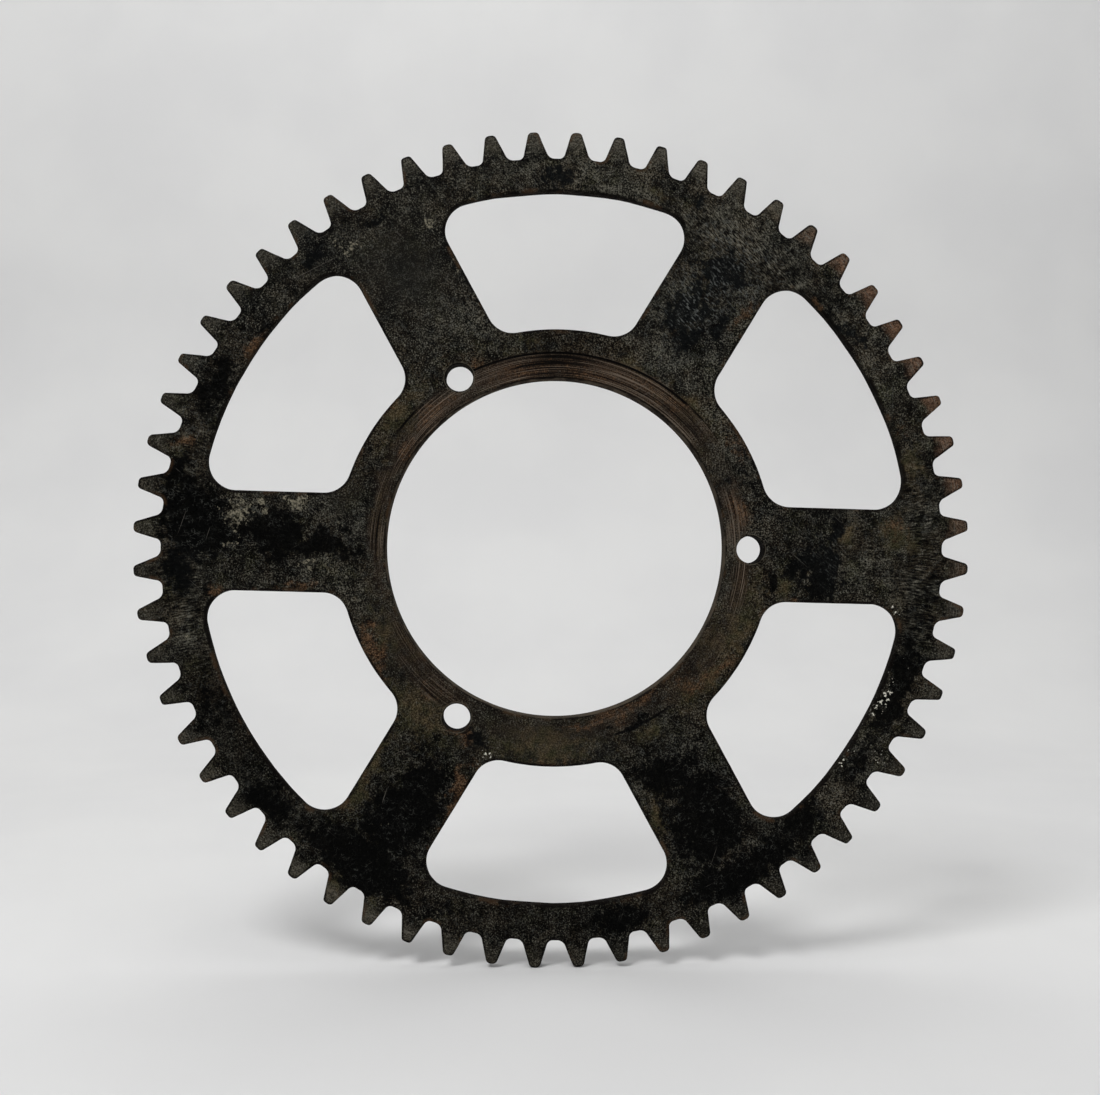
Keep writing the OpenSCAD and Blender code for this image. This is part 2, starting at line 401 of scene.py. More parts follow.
def patch_field(drifted_points, patches):
    """The strongest patch at each drifted point."""
    radius = np.hypot(*drifted_points.T)
    angle = np.degrees(np.arctan2(drifted_points[:, 1], drifted_points[:, 0]))
    strongest = np.zeros(len(drifted_points))
    for at, r, along, across, strength in patches:
        u = np.radians(wrapped(angle - at)) * r / along
        v = (radius - r) / across
        strongest = np.maximum(strongest, strength * np.exp(-(u * u + v * v)))
    return strongest


def paint(mesh, flat):
    """Writes the stains and the painted light and shade to the mesh as attributes, which the material reads.
    """
    drifted_points = drifted(flat)
    for name, patches in PATCHES.items():
        add_attribute(mesh, name, patch_field(drifted_points, patches))
    bolt_distance = [np.hypot(*(flat - centre).T) for centre in bolt_centres()]
    add_attribute(mesh, "bolt_mm", np.min(bolt_distance, axis=0))
    angle = np.degrees(np.arctan2(flat[:, 1], flat[:, 0])) % 360
    at = np.arange(0, 360, TIP_SPACING)
    add_attribute(mesh, "tip", np.interp(angle, at, TIP_BRIGHTNESS, period=360))
    add_attribute(mesh, "tip_red", np.interp(angle, at, TIP_REDNESS, period=360))


# ---- Heights of the two faces ------------------------------------------------------------------

GROOVE_PITCH = 0.62
GROOVE_DEPTH = 0.045
GROOVE_FROM_R, GROOVE_TO_R = 51.9, 58.3
# Radii at which circles of mesh points carry the grooves and the step of the register
GROOVE_RINGS = np.concatenate((
    np.arange(GROOVE_FROM_R, GROOVE_TO_R + 0.01, GROOVE_PITCH / 2),
    (REGISTER_R - 0.08, REGISTER_R + 0.14),
))
# Room left under the CAD's faces for the relief
RELIEF_ROOM = 0.1


def bevel_loss(radius):
    return TIP_BEVEL * np.clip((radius - BEVEL_START_R) / (TIP_R - BEVEL_START_R), 0, 1.2)


def surface_relief(points, seed):
    """Waves, lumps and corrosion pits of a face, in millimetres."""
    waves = 0.05 * noise_field(points, 16, seed) + 0.035 * noise_field(points, 5.5, seed + 1)
    lumps = 0.13 * noise_field(points, 2.6, seed + 2) * (0.3 + 0.7 * patch_field(drifted(points), LUMPY))
    pits = 0.07 * smooth_step(0.25, 0.6, noise_field(points, 1.9, seed + 3))
    pitted = smooth_step(-0.1, 0.45, noise_field(points, 22, seed + 4))
    return waves + lumps - pits * pitted


def front_height(points):
    """How far the front face lies in front of the mid-plane."""
    radius = np.hypot(*points.T)
    register = 1 - smooth_step(REGISTER_R - 0.06, REGISTER_R + 0.12, radius)
    turned_zone = smooth_step(GROOVE_FROM_R - 0.3, GROOVE_FROM_R, radius)
    turned_zone = turned_zone * (1 - smooth_step(GROOVE_TO_R, GROOVE_TO_R + 0.2, radius))
    groove = 0.5 - 0.5 * np.cos(2 * math.pi * (radius - GROOVE_FROM_R) / GROOVE_PITCH)
    cut = REGISTER_DEPTH * register + GROOVE_DEPTH * groove * turned_zone
    relief = surface_relief(points, 1) * (1 - 0.7 * register)
    return HALF_T - RELIEF_ROOM - bevel_loss(radius) - cut + relief


def back_height(points):
    radius = np.hypot(*points.T)
    return HALF_T - RELIEF_ROOM - bevel_loss(radius) + surface_relief(points, 9)


# ---- Cut edges ---------------------------------------------------------------------------------
# A profile lists its rings of points from front to back. The front's and back's rings are (inset into
# the steel, depth below the face), and the middle's are (inset, share of the thickness). The roughness
# is how far the edge wanders, and the flare how much the middle's and back's insets vary along it.

TOOTH_PROFILE = {
    "roughness": 0.04,
    "flare": 0.0,
    "front": ((0.42, 0.0), (0.17, 0.06), (0.04, 0.2), (0.0, 0.5)),
    "middle": ((0.0, 0.5),),
    "back": ((0.0, 0.5), (0.06, 0.17), (0.3, 0.0)),
}
WINDOW_PROFILE = {
    "roughness": 0.03,
    "flare": 0.4,
    "front": ((0.62, 0.0), (0.36, 0.07), (0.15, 0.22), (0.03, 0.45), (0.0, 0.8)),
    "middle": ((0.0, 0.36), (0.14, 0.44), (0.42, 0.62), (0.75, 0.8)),
    "back": ((0.95, 0.3), (1.05, 0.08), (1.3, 0.0)),
}
BORE_PROFILE = {
    "roughness": 0.015,
    "flare": 0.0,
    "front": ((0.34, 0.0), (0.28, 0.04), (0.05, 0.26), (0.0, 0.34)),
    "middle": ((0.0, 0.5),),
    "back": ((0.0, 0.34), (0.05, 0.26), (0.28, 0.04), (0.34, 0.0)),
}
BOLT_PROFILE = {
    "roughness": 0.02,
    "flare": 0.0,
    "front": ((0.3, 0.0), (0.2, 0.05), (0.06, 0.2), (0.0, 0.36)),
    "middle": ((0.0, 0.5),),
    "back": ((0.0, 0.16), (0.04, 0.05), (0.16, 0.0)),
}


class Cut:
    """One closed edge of the plate, with the rings of points that make its wall from front to back."""

    def __init__(self, points, inside, profile, growth=0.0):
        self.normals = normals_of(points, inside)
        wobble = noise_field(points, 3.1, 21) + 0.5 * noise_field(points, 1.1, 22)
        self.line = points + self.normals * (growth + profile["roughness"] * wobble)[:, None]
        swell = 1 + profile["flare"] * noise_field(points, 16, 23)
        self.rings = []
        for inset, depth in profile["front"]:
            flat = self.moved_in(inset)
            self.rings.append((flat, depth - front_height(flat)))
        for inset, share in profile["middle"]:
            flat = self.moved_in(swell * inset)
            self.rings.append((flat, front_height(flat) * (share - 1) + back_height(flat) * share))
        for inset, depth in profile["back"]:
            flat = self.moved_in(swell * inset)
            self.rings.append((flat, back_height(flat) - depth))

    def moved_in(self, inset):
        """The edge's line moved into the steel."""
        return self.line + self.normals * np.broadcast_to(inset, len(self.line))[:, None]


def all_cuts():
    cuts = [Cut(resampled(tooth_ring(), TOOTH_STEP), True, TOOTH_PROFILE)]
    window = resampled(window_points(), WINDOW_STEP)
    for i in range(WINDOWS):
        turn = WINDOW_TURN + (i + 0.5) * WINDOW_ANGLE - 90
        outline = turned(window, turn) + WINDOW_SHIFTS[i]
        cuts.append(Cut(outline, False, WINDOW_PROFILE, WINDOW_GROWTHS[i]))
    cuts.append(Cut(circle((0, 0), BORE_R, BORE_STEP), False, BORE_PROFILE))
    for centre in bolt_centres():
        cuts.append(Cut(circle(centre, BOLT_R, BOLT_STEP), False, BOLT_PROFILE))
    return cuts


# ---- Filling a face ----------------------------------------------------------------------------

def grid_points(step):
    """A slightly uneven triangular grid over the plate."""
    rows = np.arange(-TIP_R, TIP_R, step * math.sqrt(3) / 2)
    grid = []
    for k, y in enumerate(rows):
        xs = np.arange(-TIP_R, TIP_R, step) + (k % 2) * step / 2
        grid.append(np.column_stack((xs, np.full(len(xs), y))))
    grid = np.vstack(grid)
    radius = np.hypot(*grid.T)
    grid = grid[(radius < TIP_R) & (radius > BORE_R)]
    return grid + rng.uniform(-GRID_JITTER, GRID_JITTER, grid.shape) * step


def outside_band(points, low, high):
    radius = np.hypot(*points.T)
    return points[(radius < low) | (radius > high)]


def points_in_steel(edges, normals, sets):
    """Points that lie in the steel and clear of its edges, each as (right, up, distance from the edge).

    A set is (points, the distance that they keep from the edges).
    """
    tree = kdtree.KDTree(len(edges))
    for i, (x, y) in enumerate(edges):
        tree.insert((x, y, 0), i)
    tree.balance()
    kept = []
    for points, gap in sets:
        for x, y in points:
            _, i, distance = tree.find((x, y, 0))
            depth = (x - edges[i][0]) * normals[i][0] + (y - edges[i][1]) * normals[i][1]
            if depth > 0 and distance > gap:
                kept.append((x, y, distance))
    return np.array(kept)


def filled(cuts, ring_index, sets):
    """Fills a face between the cuts' rings. Returns its points, triangles and distances from the edge."""
    edges = np.vstack([cut.rings[ring_index][0] for cut in cuts])
    normals = np.vstack([cut.normals for cut in cuts])
    starts = np.cumsum([0] + [len(cut.line) for cut in cuts])
    inner = points_in_steel(edges, normals, sets)
    points = np.vstack((edges, inner[:, :2]))
    borders = []
    loop_of = np.full(len(points), -1)
    for n, (a, b) in enumerate(zip(starts[:-1], starts[1:])):
        borders += list(zip(range(a, b), [*range(a + 1, b), a]))
        loop_of[a:b] = n
    verts, _, faces, origins, _, _ = delaunay_2d_cdt([Vector(p) for p in points], borders, [], 0, 1e-7)
    if len(verts) != len(points):
        raise RuntimeError("two of the plate's mesh points fell together")
    first = [o[0] for o in origins]
    triangles = np.array([[first[v] for v in f] for f in faces])
    # Only a triangle with all its corners on one cut's ring may lie outside the steel
    same = (loop_of[triangles] == loop_of[triangles[:, :1]]).all(axis=1) & (loop_of[triangles[:, 0]] >= 0)
    keep = np.ones(len(triangles), bool)
    for t in np.nonzero(same)[0]:
        n = loop_of[triangles[t, 0]]
        centre = points[triangles[t]].mean(axis=0)
        loop = points[starts[n]:starts[n + 1]]
        keep[t] = inside_loop(centre, loop) == (n == 0)
    distance = np.concatenate((np.zeros(len(edges)), inner[:, 2]))
    return points, triangles[keep], distance


def inside_loop(point, loop):
    a, b = loop, np.roll(loop, -1, axis=0)
    straddles = (a[:, 1] > point[1]) != (b[:, 1] > point[1])
    rise = np.where(straddles, b[:, 1] - a[:, 1], 1)
    crossing = a[:, 0] + (point[1] - a[:, 1]) * (b[:, 0] - a[:, 0]) / rise
    return np.count_nonzero(straddles & (point[0] < crossing)) % 2 == 1


# ---- The plate's mesh --------------------------------------------------------------------------

# How fast a wall takes on its own colours below the front face, per half thickness
WALL_FADE = 2.2
# The angle between two faces above which their edge is drawn sharp
SHARP_ANGLE = 50


def build_plate():
    cuts = all_cuts()
    front_grid = outside_band(grid_points(FRONT_STEP), GROOVE_RINGS[0] - 0.3, GROOVE_RINGS[-1] + 0.35)
    front_sets = [(front_grid, GRID_CLEAR * FRONT_STEP)]
    front_sets += [(circle((0, 0), r, GROOVE_STEP), GROOVE_CLEAR) for r in GROOVE_RINGS]
    front, front_faces, front_edge = filled(cuts, 0, front_sets)
    back_sets = [(grid_points(BACK_STEP), GRID_CLEAR * BACK_STEP)]
    back, back_faces, back_edge = filled(cuts, -1, back_sets)

    flats = [front, back]
    levels = [-front_height(front), back_height(back)]
    edge = [front_edge, back_edge]
    wall = [np.zeros(len(front)), np.zeros(len(back))]
    total = len(front) + len(back)
    quads = []
    start = 0
    for cut in cuts:
        count = len(cut.line)
        rows = [start + np.arange(count)]
        for flat, level in cut.rings[1:-1]:
            rows.append(total + np.arange(count))
            flats.append(flat)
            levels.append(level)
            edge.append(np.zeros(count))
            wall.append(np.full(count, min(1, WALL_FADE * float(np.mean(level + HALF_T)) / HALF_T)))
            total += count
        rows.append(len(front) + start + np.arange(count))
        for upper, lower in zip(rows[:-1], rows[1:]):
            quads.append(np.column_stack((upper, np.roll(upper, -1), np.roll(lower, -1), lower)))
        start += count

    flat = np.vstack(flats)
    level = np.concatenate(levels)
    vertices = np.column_stack((flat[:, 0], level, flat[:, 1])) * MM
    faces = front_faces.tolist() + (back_faces + len(front)).tolist() + np.vstack(quads).tolist()
    mesh = bpy.data.meshes.new("sprocket_plate")
    mesh.from_pydata(vertices.tolist(), [], faces)
    plate = bpy.data.objects.new("sprocket_plate", mesh)
    bpy.context.scene.collection.objects.link(plate)
    fix_normals(mesh)
    mesh.shade_smooth()
    mesh.set_sharp_from_angle(angle=math.radians(SHARP_ANGLE))
    add_attribute(mesh, "edge_mm", np.concatenate(edge))
    add_attribute(mesh, "wall", np.concatenate(wall))
    paint(mesh, flat)
    return plate


def fix_normals(mesh):
    work = bmesh.new()
    work.from_mesh(mesh)
    bmesh.ops.recalc_face_normals(work, faces=work.faces)
    work.to_mesh(mesh)
    work.free()


def add_attribute(mesh, name, values):
    attribute = mesh.attributes.new(name, "FLOAT", "POINT")
    attribute.data.foreach_set("value", values.astype(np.float32))


# ---- Materials ---------------------------------------------------------------------------------

class Tree:
    """Short ways to add the nodes of one material."""

    def __init__(self, name):
        self.material = bpy.data.materials.new(name)
        self.material.use_nodes = True
        self.nodes = self.material.node_tree.nodes
        self.links = self.material.node_tree.links
        self.shader = next(n for n in self.nodes if n.type == "BSDF_PRINCIPLED")
        self.place = self.nodes.new("ShaderNodeTexCoord").outputs["Object"]

    def put(self, socket, value):
        if isinstance(value, bpy.types.NodeSocket):
            self.links.new(value, socket)
        else:
            socket.default_value = value

    def math(self, operation, a, b=0.0):
        node = self.nodes.new("ShaderNodeMath")
        node.operation = operation
        self.put(node.inputs[0], a)
        self.put(node.inputs[1], b)
        return node.outputs[0]

    def times(self, a, b):
        return self.math("MULTIPLY", a, b)

    def plus(self, a, b):
        return self.math("ADD", a, b)

    def mapped(self, vector, shift=(0, 0, 0), turn=0, scale=(1, 1, 1)):
        node = self.nodes.new("ShaderNodeMapping")
        node.inputs["Location"].default_value = shift
        node.inputs["Rotation"].default_value = (0, math.radians(turn), 0)
        node.inputs["Scale"].default_value = scale
        self.put(node.inputs["Vector"], vector)
        return node.outputs[0]

    def noise(self, size, detail=3, roughness=0.5, seed=0, vector=None):
        """Noise from 0 to 1 with features of that many millimetres, or units of the vector."""
        node = self.nodes.new("ShaderNodeTexNoise")
        node.inputs["Scale"].default_value = 1 / (size * MM) if vector is None else 1 / size
        node.inputs["Detail"].default_value = detail
        node.inputs["Roughness"].default_value = roughness
        reach = MM * 100 if vector is None else 1
        shift = (0.37 * seed * reach, 0.71 * seed * reach, 0.53 * seed * reach)
        self.put(node.inputs["Vector"], self.mapped(self.place if vector is None else vector, shift))
        return node.outputs[0]

    def streaks(self, width, length, turn, seed, detail=2):
        """Noise drawn out along one direction of the plate's plane."""
        scale = (1 / (length * MM), 1 / (width * MM), 1 / (width * MM))
        drawn_out = self.mapped(self.mapped(self.place, turn=turn), scale=scale)
        return self.noise(1, detail, 0.55, seed, drawn_out)

    def strokes(self, size, width, seed):
        """Short curled lines, one where noise of that size crosses its middle value."""
        off = self.math("ABSOLUTE", self.plus(self.noise(size, 2, 0.5, seed), -0.5))
        sparse = self.step(self.noise(size * 1.3, 2, 0.5, seed + 1), 0.52, 0.62)
        return self.times(self.step(off, 0.0, width / size, 1.0, 0.0), sparse)

    def round_the_bore(self, reach, thickness, seed, detail):
        """Noise over the direction from the bore, times the reach, and over the radius."""
        join = self.nodes.new("ShaderNodeCombineXYZ")
        self.put(join.inputs["X"], self.times(self.math("DIVIDE", self.x, self.radius), reach))
        self.put(join.inputs["Y"], self.math("DIVIDE", self.radius, thickness * MM))
        self.put(join.inputs["Z"], self.times(self.math("DIVIDE", self.z, self.radius), reach))
        return self.noise(1, detail, 0.6, seed, join.outputs[0])

    def rings(self, width, length, at_radius, seed, detail=2):
        """Noise drawn out along circles round the bore."""
        return self.round_the_bore(at_radius / length, width, seed, detail)

    def radials(self, width, length, at_radius, seed, detail=2):
        """Noise drawn out along the radius."""
        return self.round_the_bore(at_radius / width, length, seed, detail)

    def cells(self, size):
        node = self.nodes.new("ShaderNodeTexVoronoi")
        node.inputs["Scale"].default_value = 1 / (size * MM)
        self.put(node.inputs["Vector"], self.place)
        return node.outputs["Distance"]

    def step(self, value, low, high, out_low=0.0, out_high=1.0):
        node = self.nodes.new("ShaderNodeMapRange")
        node.interpolation_type = "SMOOTHSTEP"
        self.put(node.inputs["Value"], value)
        node.inputs["From Min"].default_value = low
        node.inputs["From Max"].default_value = high
        node.inputs["To Min"].default_value = out_low
        node.inputs["To Max"].default_value = out_high
        return node.outputs[0]

    def mixed(self, data_type, kind, factor, a, b):
        node = self.nodes.new("ShaderNodeMix")
        node.data_type = data_type
        for name, value in (("Factor_Float", factor), (f"A_{kind}", a), (f"B_{kind}", b)):
            self.put(next(i for i in node.inputs if i.identifier == name), value)
        return next(o for o in node.outputs if o.identifier == f"Result_{kind}")

    def mix(self, factor, a, b):
        """Colour a, or colour b where the factor is 1."""
        a, b = ((*c, 1.0) if isinstance(c, tuple) else c for c in (a, b))
        return self.mixed("RGBA", "Color", factor, a, b)

    def blend(self, factor, a, b):
        """Number a, or number b where the factor is 1."""
        return self.mixed("FLOAT", "Float", factor, a, b)

    def shaded(self, colour, amount):
        """A colour made lighter or darker by an amount."""
        node = self.nodes.new("ShaderNodeVectorMath")
        node.operation = "SCALE"
        self.put(node.inputs[0], colour)
        self.put(node.inputs["Scale"], amount)
        return node.outputs[0]

    def attribute(self, name):
        node = self.nodes.new("ShaderNodeAttribute")
        node.attribute_name = name
        return node.outputs["Fac"]

    def find_radius(self):
        split = self.nodes.new("ShaderNodeSeparateXYZ")
        self.put(split.inputs[0], self.place)
        self.x, self.z = split.outputs["X"], split.outputs["Z"]
        self.radius = self.math("SQRT", self.plus(self.times(self.x, self.x), self.times(self.z, self.z)))


# ---- The plate's material ----------------------------------------------------------------------
# Colours are linear light.

BLACK_OXIDE = (0.0022, 0.0023, 0.0019)
GREY_OXIDE = (0.0235, 0.0222, 0.0172)
UMBER = (0.0225, 0.0170, 0.0105)
OLIVE = (0.0150, 0.0148, 0.0070)
SMOOTH_OXIDE = (0.0150, 0.0145, 0.0118)
# Flecks, partly painted glints, and strokes, painted glints
FLECK_AND_GLINT = (0.148, 0.142, 0.116)
STROKE_GLINT = (0.135, 0.138, 0.122)
OLIVE_FILM = (0.032, 0.029, 0.014)
OCHRE_FILM = (0.060, 0.045, 0.024)
DARK_RUST = (0.024, 0.015, 0.009)
LIGHT_RUST = (0.112, 0.062, 0.032)
TURNED_STEEL = (0.042, 0.0275, 0.0185)
LIGHT_TURNING = (0.165, 0.130, 0.098)
DARK_TURNING = (0.0016, 0.0013, 0.0010)
# The painted shadow of the register's step
REGISTER_STEP_SHADOW = (0.0010, 0.0008, 0.0006)
TIP_STEEL = (0.066, 0.060, 0.046)
TIP_RUST = (0.112, 0.064, 0.040)
CHAIN_MARK = (0.15, 0.14, 0.118)
WARM_TAR = (0.0008, 0.0009, 0.0008)
# Tar with the sky's reflection painted in, then painted glints in the tar and on the ridges
TAR_WITH_SKY_REFLECTION = (0.0028, 0.0036, 0.0038)
TAR_GLINT = (0.115, 0.118, 0.105)
RIDGE_HIGHLIGHT = (0.140, 0.148, 0.140)
DARK_FLAKE = (0.060, 0.055, 0.040)
PALE_FLAKE = (0.225, 0.205, 0.150)
# Grit, painted bright as its glints
GRIT_GLINT = (0.60, 0.58, 0.50)
# Edges: painted shade, and a brown line, partly rubbed and partly painted light
EDGE_SHADE = (0.003, 0.0022, 0.0018)
RUBBED_AND_LIT_EDGE = (0.060, 0.034, 0.018)
DARK_WALL = (0.0014, 0.0011, 0.0009)
BROWN_WALL = (0.013, 0.0098, 0.0072)
BORE_WALL = (0.040, 0.0265, 0.018)
# The bore wall's lower half, painted lighter where the light falls, partly rubbed
RUBBED_AND_LIT_BORE_WALL = (0.215, 0.190, 0.150)
BORE_BEVEL = (0.070, 0.056, 0.040)
BOLT_SEAT = (0.085, 0.076, 0.058)
SCRATCH = (0.12, 0.11, 0.095)

GRIND_ANGLE = -48
SCRATCH_ANGLES = (28, -41, 72)
SPECULAR_LEVEL = 0.03
BUMP_DEPTH = 0.3


class WornSteel(Tree):
    """The plate's material, laid down coat by coat over the ground coat, with painted light and shade among
    the coats.
    """

    def __init__(self):
        super().__init__("worn_oxidised_steel")
        self.find_radius()
        self.radius_mm = self.math("DIVIDE", self.radius, MM)
        self.hub_zone = self.step(self.radius_mm, 58, 60, 1.0, 0.0)
        self.wall = self.attribute("wall")
        self.light = self.attribute("light")
        self.shade = self.attribute("shade")
        self.smooth = self.attribute("smooth")
        self.lumpy = self.attribute("lumpy")
        self.sky_reflection = self.attribute("sky_reflection")
        self.mottle = self.noise(2.6, 4, 0.66, 2)
        self.grain = self.surface_grain()
        self.base = self.ground_coat()
        self.add_flecks_and_glints()
        self.add_films()
        self.add_rust_and_turning()
        self.add_register_step_shadow()
        self.add_tooth_tips()
        self.add_tar()
        self.add_flakes()
        self.add_edges()
        self.add_walls()
        self.add_bolt_seats()
        self.add_scratches()
        self.put(self.shader.inputs["Base Color"], self.base)
        self.shader.inputs["Specular IOR Level"].default_value = SPECULAR_LEVEL
        self.set_roughness()
        self.set_relief()

    def cover(self, amount, colour):
        self.base = self.mix(amount, self.base, colour)

    def grained(self, colour, darkest, brightest, low=0.34, high=0.66):
        """A colour with the surface's grain in it."""
        return self.shaded(colour, self.step(self.grain, low, high, darkest, brightest))

    def surface_grain(self):
        """Fine grain, drawn out along the radius on the rim and along the grinding where that shows."""
        grain = self.noise(0.44, 2, 0.7, 5)
        ground = self.streaks(0.40, 1.8, GRIND_ANGLE, 6)
        grain = self.blend(self.times(self.attribute("grind"), 0.8), grain, ground)
        along_radius = self.radials(0.42, 2.6, 112, 7)
        return self.blend(self.times(self.attribute("radial"), 0.75), grain, along_radius)

    def ground_coat(self):
        """Black oxide with grey, umber and olive clouds, lightened by painted sheen and darkened by painted
        shade, both partly the coat's own tone, and darkened and lightened by the grain.
        """
        level = self.plus(self.times(self.noise(13, 4, 0.62, 1), 0.55), self.times(self.mottle, 0.45))
        level = self.plus(level, self.times(self.light, 0.06))
        coat = self.mix(self.step(level, 0.40, 0.62), BLACK_OXIDE, GREY_OXIDE)
        brown = self.step(self.radius_mm, 62, 72, 0.9, 0.5)
        coat = self.mix(self.times(self.step(self.noise(15, 3, 0.6, 3), 0.42, 0.64), brown), coat, UMBER)
        coat = self.mix(self.step(self.noise(9, 3, 0.6, 4), 0.50, 0.7, 0, 0.55), coat, OLIVE)
        coat = self.mix(self.times(self.smooth, 0.7), coat, SMOOTH_OXIDE)
        # Painted sheen and shade: lighter in the light patches, darker in the shade patches, partly the
        # coat's own tone
        tone = self.plus(self.plus(1.0, self.times(self.light, 0.9)), self.times(self.shade, -0.6))
        coat = self.shaded(coat, tone)
        dark = self.step(self.plus(self.grain, self.times(self.mottle, 0.15)), 0.50, 0.665, 0.03, 2.05)
        dark = self.times(dark, self.step(self.noise(4.5, 3, 0.6, 43), 0.38, 0.60, 0.55, 1.3))
        return self.shaded(coat, self.blend(self.times(self.smooth, 0.6), dark, 1.0))

    def add_flecks_and_glints(self):
        """Flecks, partly rubbed coat and partly painted glints, curled strokes painted as glints, and the
        lumps' ridges.
        """
        level = self.plus(self.plus(self.grain, self.times(self.mottle, 0.25)), self.times(self.light, 0.05))
        fleck = self.times(self.step(level, 0.71, 0.81, 0, 0.9), self.blend(self.smooth, 1.0, 0.25))
        self.cover(self.times(fleck, self.blend(self.shade, 1.0, 0.3)), FLECK_AND_GLINT)
        # Curled strokes, painted as glints on the wrinkled coat, and also used as relief
        self.glinting_curls = self.math("MAXIMUM", self.strokes(1.5, 0.055, 36), self.strokes(2.3, 0.05, 38))
        more = self.plus(self.times(self.lumpy, 0.35), self.times(self.light, 0.15))
        self.cover(self.times(self.glinting_curls, self.plus(0.22, more)), STROKE_GLINT)
        # The lumps' ridges, as relief and as the mask of painted highlights, where the sky's reflection is
        # painted
        ridges_and_highlights = self.step(self.streaks(0.55, 1.6, GRIND_ANGLE, 41), 0.54, 0.66)
        ridges_and_highlights = self.times(ridges_and_highlights, self.times(self.lumpy, self.sky_reflection))
        self.ridges_and_highlights = self.times(ridges_and_highlights, self.step(self.noise(5, 3, 0.6, 42), 0.40, 0.54))

    def add_films(self):
        """Brown and olive films."""
        level = self.plus(self.times(self.attribute("ochre"), 0.5), self.noise(2.4, 5, 0.68, 8))
        colour = self.mix(self.step(self.noise(4.5, 3, 0.6, 9), 0.42, 0.6), OLIVE_FILM, OCHRE_FILM)
        self.cover(self.step(level, 0.60, 1.0, 0, 0.85), self.grained(colour, 0.3, 1.8))

    def add_rust_and_turning(self):
        """Rust, and the concentric marks of the turned register."""
        turned_here = self.attribute("turned")
        bare = self.times(self.times(turned_here, self.hub_zone), 0.85)
        self.cover(bare, self.grained(TURNED_STEEL, 0.5, 1.5))
        level = self.plus(self.times(self.attribute("rust"), 0.55), self.noise(1.7, 5, 0.7, 11))
        self.rust = self.step(level, 0.68, 1.04, 0, 0.85)
        colour = self.mix(self.step(self.noise(0.7, 3, 0.7, 12), 0.38, 0.62), DARK_RUST, LIGHT_RUST)
        self.cover(self.rust, self.grained(colour, 0.25, 1.7, 0.36, 0.64))
        # The painted shade also darkens the turning marks
        self.ring_marks = self.plus(self.rings(0.25, 30, 56, 10), self.times(self.shade, -0.11))
        turning = self.times(self.step(turned_here, 0.1, 0.6), self.hub_zone)
        self.cover(self.times(self.step(self.ring_marks, 0.55, 0.62, 0, 0.8), turning), LIGHT_TURNING)
        self.cover(self.times(self.step(self.ring_marks, 0.39, 0.45, 0.95, 0), turning), DARK_TURNING)

    def add_register_step_shadow(self):
        """Painted shadow: a dark line in the corner of the turned register, where its step shades the face.
        """
        off = self.math("ABSOLUTE", self.plus(self.radius_mm, -REGISTER_R + 0.1))
        corner = self.step(off, 0.22, 0.46, 1.0, 0.0)
        corner = self.times(corner, self.step(self.attribute("corner"), 0.2, 0.5))
        # A dark line painted as the step's shadow
        self.cover(self.times(corner, 0.97), REGISTER_STEP_SHADOW)

    def add_tooth_tips(self):
        """Tooth tips, where the coat has worn off the faces that the chain rubs."""
        worn = self.attribute("tip")
        ragged_r = self.plus(self.radius_mm, self.times(self.noise(3.0, 3, 0.6, 13), 5.0))
        tip = self.step(ragged_r, 121.0, 125.0, 0, 0.9)
        tip = self.times(tip, self.step(self.noise(0.9, 3, 0.62, 14), 0.28, 0.58, 0.3, 1.0))
        red = self.plus(self.attribute("tip_red"), self.times(self.noise(6, 2, 0.5, 15), 0.5))
        colour = self.mix(self.step(red, 0.55, 0.95), TIP_STEEL, TIP_RUST)
        self.cover(self.times(tip, worn), self.grained(colour, 0.35, 1.7))
        marks = self.step(self.rings(0.42, 5, 123, 44), 0.57, 0.63)
        marks = self.times(marks, self.step(self.radius_mm, 120.0, 122.5))
        self.cover(self.times(self.times(marks, worn), 0.6), CHAIN_MARK)

    def add_tar(self):
        """Grease and tar, almost black, with painted glints and a painted reflection of the sky, and painted
        highlights where the ridges of the lumpy coat catch the light.
        """
        level = self.plus(self.times(self.attribute("tar"), 0.62), self.noise(2.4, 5, 0.70, 16))
        self.tar = self.step(level, 0.76, 0.92)
        clusters = self.step(self.noise(8, 3, 0.55, 40), 0.46, 0.62, 0.1, 1.0)
        # Painted glints in the tar
        glint = self.times(self.step(self.plus(self.grain, self.times(self.mottle, 0.3)), 0.74, 0.90), 0.22)
        glint = self.math("MAXIMUM", glint, self.times(self.glinting_curls, 0.34))
        # The sky's reflection painted into the tar
        colour = self.mix(self.sky_reflection, WARM_TAR, TAR_WITH_SKY_REFLECTION)
        self.cover(self.times(self.tar, 0.96), self.mix(self.times(glint, clusters), colour, TAR_GLINT))
        self.cover(self.times(self.ridges_and_highlights, 0.75), RIDGE_HIGHLIGHT)

    def add_flakes(self):
        """Pale flakes of dried dirt, with crumbs round them painted bright as glints."""
        level = self.plus(self.times(self.attribute("flake"), 0.36), self.noise(1.6, 4, 0.68, 18))
        self.flake = self.step(level, 0.76, 0.82, 0, 0.92)
        colour = self.mix(self.step(self.noise(0.7, 2, 0.5, 19), 0.38, 0.6), DARK_FLAKE, PALE_FLAKE)
        self.cover(self.flake, colour)
        # Specks of grit, painted bright as their glints
        level = self.plus(self.times(self.attribute("grit_and_glints"), 0.3), self.noise(0.8, 1, 0.5, 20))
        self.cover(self.step(level, 0.86, 0.90), GRIT_GLINT)

